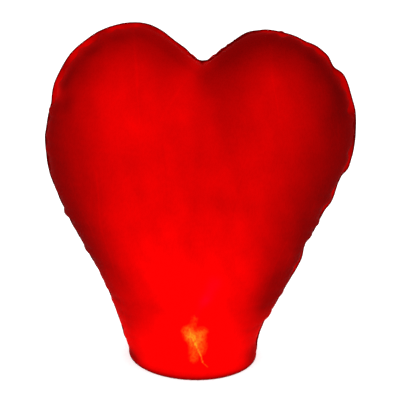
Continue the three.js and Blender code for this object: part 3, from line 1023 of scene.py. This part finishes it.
def wrap_path(angle, radius, turns, pitch):
    """Turns round the ring at an angle: out over the top, down outside, back underneath and up inside."""
    reach = radius + CLEARANCE / 2
    half = (STRIP_TOP - STRIP_BOTTOM) / 2
    corners = ((1, 1), (1, -1), (-1, -1), (-1, 1))
    per_turn = len(corners) * WRAP_PARTS
    points = []
    for k in range(int(turns * per_turn)):
        quarter = k // WRAP_PARTS % 4
        right, top = corners[quarter]
        bend = math.pi / 2 * (1 - quarter - k % WRAP_PARTS / (WRAP_PARTS - 1))
        out = RING_RADIUS + right * STRIP_WIDTH / 2 + reach * math.cos(bend)
        z = STRIP_BOTTOM + half + top * half + reach * math.sin(bend)
        points.append(on_circle(out, angle + pitch * k / per_turn / RING_RADIUS, z))
    return points


def thread_material():
    """Waxed thread: pale fibres with darker stains."""
    shader = Shader("waxed_thread", Roughness=0.75, Specular_IOR_Level=0.25, Sheen_Weight=0.2)
    fibre = shader.noise(900, detail=4, roughness=0.7)
    stain = shader.noise(120, detail=2).remap(0.5, 0.8, 0, 0.5)
    shader.drive(Base_Color=shader.coats(
        (0.46, 0.38, 0.24, 1),
        (fibre.vary(0, 1), (0.8, 0.73, 0.57)),
        (stain, (0.35, 0.26, 0.15)),
    ))
    shader.bump(fibre, 0.00008, 0.7)
    return shader.material


def bindings(material):
    """Two bindings of twisted thread round the lap."""
    for number, side in ((1, -1), (2, 1)):
        angle = LAP_CENTRE + side * LAP_ANGLE * BINDING_PLACE
        path = wrap_path(angle, THREAD_RADIUS, BINDING_TURNS, BINDING_PITCH)
        name = f"thread_binding_{number}"
        piece = tube(name, path, THREAD_RADIUS, sides=10, ridge=0.1, strands=2, twist=1500)
        settle(piece, [material], [f"ring_binding_{number}"])


def steel_material():
    """Drawn steel wire: blued by heat and blackened with soot near the fuel cell, with specks of rust."""
    shader = Shader("sooty_steel")
    from_middle = shader.vector("LENGTH", shader.stretched((1, 1, 0)))
    grime = shader.noise(160, detail=4, roughness=0.7)
    drawn = shader.noise(1400, detail=2).vary(0, 1)
    soot = from_middle.remap(0.025, 0.06, 1, 0) * grime.remap(0.3, 0.6, 0.55, 1)
    rust = grime.remap(0.62, 0.7, 0, 0.6)
    colour = shader.coats(
        (0.42, 0.42, 0.44, 1),
        (drawn, (0.6, 0.6, 0.61)),
        (from_middle.remap(0.06, 0.11, 0.75, 0), (0.5, 0.33, 0.14)),
        (from_middle.remap(0.045, 0.075, 0.8, 0), (0.12, 0.14, 0.3)),
        (soot, (0.02, 0.018, 0.017)),
        (rust, (0.22, 0.08, 0.03)),
    )
    metal = shader.math("SUBTRACT", 1, shader.math("MAXIMUM", soot * 0.8, rust))
    shader.drive(Base_Color=colour, Roughness=grime.vary(0.26, 0.44) + soot * 0.35, Metallic=metal)
    shader.bump(grime, 0.00006, 0.6)
    return shader.material


def crossed_wires(material):
    """The two crossed wires, a little rippled and wrapped round the ring at both ends."""
    for name, angle, lift in (("a", WIRE_TURN - math.pi / 2, 0), ("b", WIRE_TURN, CROSSING_LIFT)):
        reach = np.linspace(-WIRE_REACH, WIRE_REACH, WIRE_POINTS)
        out = np.abs(reach)
        height = WIRE_Z + lift * (1 - smooth(out, 0.004, 0.009))
        ripple = WIRE_RIPPLE * np.sin(reach * 95 + angle) * smooth(out, 0.015, 0.04)
        turn = angle + ripple * (1 - smooth(out, 0.12, 0.16)) / np.maximum(out, 0.02)
        across = [on_circle(*place) for place in zip(reach, turn, height)]
        ends = [wrap_path(end, WIRE_RADIUS, WIRE_TURNS, WIRE_PITCH) for end in (angle + math.pi, angle)]
        piece = tube(f"wire_{name}", ends[0][::-1] + across + ends[1], WIRE_RADIUS)
        settle(piece, [material], [f"burner_wire_{name}"])


def hairpin(material):
    """The wire bent under the crossing, whose two prongs stand up through the fuel cell."""
    low = WIRE_Z - CROSSING_LIFT
    half = PRONG_SPACING / 2
    prong = [(half, z) for z in np.linspace(PRONG_TOP, low + HAIRPIN_BEND, 12, endpoint=False)]
    for t in np.linspace(0, math.pi / 2, 7):
        prong.append((half - HAIRPIN_BEND * (1 - math.cos(t)), low + HAIRPIN_BEND * (1 - math.sin(t))))
    profile = prong + [(-along, z) for along, z in prong[::-1]]
    path = [on_circle(along, WIRE_TURN + math.pi / 4, z) for along, z in profile]
    settle(tube("holder_hairpin", path, WIRE_RADIUS), [material], ["fuel_holder_wire"])


# ---- Fuel cell and flame

def card_material():
    """Card soaked with wax: cream with darker wet fibres, its edges and top scorched by the flame."""
    shader = Shader("waxed_card", Specular_IOR_Level=0.45, Subsurface_Weight=0.05)
    upright = (shader.position, (0, 0, 0), (0, 0, 1), -WIRE_TURN)
    x, y, z = shader.separate(shader.run("VectorRotate", upright, rotation_type="Z_AXIS"))
    square = shader.math("MAXIMUM", shader.math("ABSOLUTE", x), shader.math("ABSOLUTE", y))
    fibre = shader.noise(420, detail=5, roughness=0.7, position=shader.stretched((1, 0.35, 1)))
    patch = shader.noise(75, detail=4, roughness=0.6)
    top = z.remap(FUEL_TOP - 0.006, FUEL_TOP - 0.001)
    rim = (square + patch * 0.012).remap(0.03, 0.038)
    middle = shader.vector("LENGTH", shader.stretched((1, 1, 0))).remap(0.01, 0.03, 1, 0)
    heat = shader.math("MAXIMUM", top * shader.math("MAXIMUM", rim, middle), rim * 0.35)
    heat *= patch.remap(0.3, 0.6, 0.6, 1.1)
    colour = shader.coats(
        (0.66, 0.55, 0.34, 1),
        (fibre.vary(0, 1), (0.87, 0.8, 0.6)),
        (patch.remap(0.5, 0.7, 0, 0.5), (0.58, 0.42, 0.2)),
        (heat.remap(0.15, 0.5), (0.2, 0.095, 0.035)),
        (heat.remap(0.5, 0.9), (0.018, 0.013, 0.011)),
    )
    shader.drive(Base_Color=colour, Roughness=patch.remap(0.35, 0.65, 0.3, 0.62))
    shader.bump(fibre + patch * 1.5, 0.00035, 0.6)
    return shader.material


CORNER_POINTS = 7
SIDE_POINTS = 17
EDGE_POINTS = 4 * (CORNER_POINTS + SIDE_POINTS)
HOLE_POINTS = 14
CARD_SPACING = 0.0024  # between the points inside a card
CARD_ROUNDING = 0.0007  # height and depth of its rounded edge
CARD_BEVEL = 0.0002
CARD_SAG = 0.00012
EDGE_WOBBLE = 0.0009
EDGE_ROOM = 0.0027  # between the edge and the first points inside it
DIMPLES = 0.00005


def card_outline(inset, wobble):
    """Rounded square of the card, drawn in by inset, its edge uneven by wobble at each point."""
    flat = FUEL_SIDE / 2 - FUEL_CORNER
    bend = np.linspace(0, math.pi / 2, CORNER_POINTS)
    corner = flat + (FUEL_CORNER - inset) * np.column_stack((np.cos(bend), np.sin(bend)))
    side = np.linspace(flat, -flat, SIDE_POINTS + 2)[1:-1]
    quarter = np.vstack((corner, np.column_stack((side, np.full(SIDE_POINTS, corner[-1, 1])))))
    quarters = []
    for _ in range(4):
        quarters.append(quarter)
        quarter = quarter[:, ::-1] * (-1, 1)
    points = np.vstack(quarters)
    return points - unit(points) * wobble[:, None]


def card_face(wobble):
    """Points and triangles of a card from above: first its edge, then the rims of its two prong holes."""
    angles = np.linspace(0, 2 * math.pi, HOLE_POINTS, endpoint=False)
    circle = FUEL_HOLE * np.column_stack((np.cos(angles), np.sin(angles)))
    centres = [np.full(2, side * PRONG_SPACING / 2 * math.sqrt(0.5)) for side in (-1, 1)]
    steps = np.arange(-FUEL_SIDE / 2, FUEL_SIDE / 2, CARD_SPACING)
    x, y = (grid.ravel() for grid in np.meshgrid(steps, steps))
    grid = np.column_stack((x + np.round(y / CARD_SPACING) % 2 * CARD_SPACING / 2, y))
    inner = np.abs(grid).max(axis=1) < FUEL_SIDE / 2 - EDGE_ROOM
    for centre in centres:
        inner &= np.linalg.norm(grid - centre, axis=1) > FUEL_HOLE + CARD_SPACING / 2
    loops = [card_outline(CARD_ROUNDING, wobble)] + [centre + circle for centre in centres]
    flat, triangles = triangulated(loops, grid[inner])
    for centre in centres:
        from_hole = np.linalg.norm(flat[triangles].mean(axis=1) - centre, axis=1)
        triangles = triangles[from_hole > 0.98 * FUEL_HOLE]
    return flat, triangles


def card_sheet(number, material):
    """One waxed sheet of the stack, with soft uneven edges and dimpled faces."""
    low, high = (corner[2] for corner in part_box(f"fuel_sheet_{number}"))
    random = np.random.default_rng(40 + number)
    wobble = np.convolve(random.uniform(0, EDGE_WOBBLE, EDGE_POINTS + 6), np.ones(7) / 7, "valid")
    flat, triangles = card_face(wobble)
    count = len(flat)
    dimples = [DIMPLES * np.abs(random.normal(0, 1, count)) for _ in range(2)]
    sag = CARD_SAG * np.sin(flat[:, 0] * 130 + number) * np.sin(flat[:, 1] * 110 + 2 * number)
    cos, sin = math.cos(WIRE_TURN), math.sin(WIRE_TURN)
    turn = np.array(((cos, sin), (-sin, cos)))
    points = [
        np.column_stack((flat @ turn, high + sag - dimples[0])),
        np.column_stack((flat @ turn, low + sag + dimples[1])),
    ]
    faces = [tuple(t) for t in triangles] + [tuple(t[::-1] + count) for t in triangles]
    edge = np.arange(EDGE_POINTS)
    rows = [edge]
    for inset, z in (
        (CARD_BEVEL, high - CARD_BEVEL), (0, high - CARD_ROUNDING),
        (0, low + CARD_ROUNDING), (CARD_BEVEL, low + CARD_BEVEL),
    ):
        rows.append(edge + 2 * count + (len(rows) - 1) * EDGE_POINTS)
        points.append(np.column_stack((card_outline(inset, wobble) @ turn, np.full(EDGE_POINTS, z))))
    rows.append(edge + count)
    for upper, lower in zip(rows, rows[1:]):
        faces += quads(lower, upper, True)
    for hole in range(2):
        rim = np.arange(HOLE_POINTS)[::-1] + EDGE_POINTS + hole * HOLE_POINTS
        faces += quads(rim + count, rim, True)
    piece = make_mesh(f"fuel_card_{number}", np.vstack(points), faces)
    settle(piece, [material], [f"fuel_sheet_{number}"], "fuel_cell")


# Tongues of the flame: where each starts and ends over the fuel cell, its height and its radius
TONGUES = (
    ((-0.01, -0.003), (-0.027, -0.004), 0.128, 0.015),
    ((0.01, 0.002), (0.029, 0.004), 0.122, 0.0145),
    ((0.001, 0.004), (0.003, 0.002), 0.1, 0.017),
    ((0.004, -0.01), (0.01, -0.012), 0.07, 0.01),
    ((-0.012, 0.011), (-0.016, 0.014), 0.062, 0.0095),
)
TONGUE_RINGS = 40
TONGUE_SIDES = 28
FLAME_BOTTOM = FUEL_TOP + 0.0006


def flame_material():
    """Burning wax: blue at the wick, pale yellow inside, orange and then red towards the tips."""
    shader = Shader("flame", Base_Color=(0, 0, 0, 1), Roughness=1.0, Specular_IOR_Level=0.0)
    licks = shader.noise(70, position=shader.stretched((1.6, 1.6, 0.45)))
    height = shader.separate()[2] + licks.vary(-0.01, 0.01)
    colour = shader.coats(
        (0.1, 0.16, 0.9, 1),
        (height.remap(FUEL_TOP + 0.002, FUEL_TOP + 0.014), (1, 0.62, 0.16)),
        (height.remap(FUEL_TOP + 0.03, FUEL_TOP + 0.075), (1, 0.34, 0.03)),
        (height.remap(FUEL_TOP + 0.07, FUEL_TOP + 0.12), (1, 0.1, 0.004)),
    )
    shader.drive(Emission_Color=colour, Emission_Strength=licks.vary(1.05, 1.6))
    return shader.material


def flame(material):
    """Leaning tongues of flame that rise from the fuel cell and are carried with it."""
    angles = np.linspace(0, 2 * math.pi, TONGUE_SIDES, endpoint=False)
    points, faces = [], []
    for number, ((x0, y0), (x1, y1), height, radius) in enumerate(TONGUES):
        rings = []
        for t in np.linspace(0, 1, TONGUE_RINGS):
            width = radius * math.sin(math.pi * min(1, t * 0.94 + 0.055) ** 0.62) ** 0.9
            width *= 1 + 0.1 * np.sin(3 * angles + 6 * t + number) + 0.06 * np.sin(5 * angles - 9 * t)
            sway = 0.0035 * math.sin(5 * t + 1.7 * number) * t
            x = x0 + (x1 - x0) * t ** 1.4 + sway + width * np.cos(angles)
            y = y0 + (y1 - y0) * t + 0.6 * sway + width * np.sin(angles)
            rings.append(np.column_stack((x, y, np.full(TONGUE_SIDES, FLAME_BOTTOM + height * t))))
        tongue, around = loft(rings)
        faces += [tuple(len(points) + corner for corner in face) for face in around]
        points += list(tongue)
    settle(make_mesh("flame", points, faces), [material], [], "fuel_cell")


# ---- Stage

CAMERA_PLACE = (0.006, -2.5, 1.176)
CAMERA_DOWN = 16.2
CAMERA_ROLL = 2.0
CAMERA_LENS = 86.2
FLOOR_SIZE = 40  # half its width
FLOOR_Z = -0.0004  # just under the lantern
WORLD_LIGHT = 1.25
LIGHTS_AIM = Vector((0, 0, 0.45))
LAMPS = {  # place, power and size
    "key": ((-1.8, -2.2, 2.6), 18, 1.6),
    "fill": ((2.4, -1.2, 1.8), 8, 2.0),
    "back": ((0.4, 2.6, 2.4), 10, 2.0),
}


def camera():
    data = bpy.data.cameras.new("camera")
    data.lens = CAMERA_LENS
    view = bpy.data.objects.new("camera", data)
    view.matrix_world = (
        Matrix.Translation(CAMERA_PLACE)
        @ Matrix.Rotation(math.radians(90 - CAMERA_DOWN), 4, "X")
        @ Matrix.Rotation(math.radians(CAMERA_ROLL), 4, "Z")
    )
    bpy.context.scene.collection.objects.link(view)
    bpy.context.scene.camera = view


def floor():
    corners = [(x * FLOOR_SIZE, y * FLOOR_SIZE, 0) for x, y in ((-1, -1), (1, -1), (1, 1), (-1, 1))]
    plane = make_mesh("floor", corners, [(0, 1, 2, 3)])
    plane.location.z = FLOOR_Z
    shader = Shader("pale_floor", Roughness=0.9, Specular_IOR_Level=0.1, Emission_Strength=0.3)
    tint = shader.mix(shader.noise(3, detail=2), (0.95, 0.95, 0.95, 1), (0.98, 0.98, 0.98, 1))
    shader.drive(Base_Color=tint, Emission_Color=tint)
    plane.data.materials.append(shader.material)


def lights():
    world = bpy.data.worlds.new("studio")
    world.use_nodes = True
    background = world.node_tree.nodes["Background"]
    background.inputs["Color"].default_value = (1, 1, 1, 1)
    background.inputs["Strength"].default_value = WORLD_LIGHT
    bpy.context.scene.world = world
    for name, (place, power, size) in LAMPS.items():
        data = bpy.data.lights.new(name, "AREA")
        data.energy, data.size = power, size
        lamp = bpy.data.objects.new(name, data)
        lamp.location = place
        lamp.rotation_euler = (LIGHTS_AIM - Vector(place)).to_track_quat("-Z", "Y").to_euler()
        bpy.context.scene.collection.objects.link(lamp)


camera()
floor()
lights()
bpy.context.scene.view_settings.view_transform = "Standard"

front_shape, back_shape = paper_shapes()
papers = [paper_material("lit_red_paper", True), paper_material("lit_red_paper_inside", False)]
front = paper_panel("paper_front", ("front_panel", "hem_front"), front_shape, -1, papers)
back = paper_panel("paper_back", ("back_panel", "hem_back"), back_shape, 1, papers)
fin_right = seam_fin("seam_fin_right", "seam_right", 1, front_shape, papers[0])
fin_left = seam_fin("seam_fin_left", "seam_left", -1, front_shape, papers[0])

bamboo_ring(bamboo_material())
bindings(thread_material())
steel = steel_material()
crossed_wires(steel)
hairpin(steel)
card = card_material()
for number in range(1, FUEL_SHEETS + 1):
    card_sheet(number, card)
flame(flame_material())
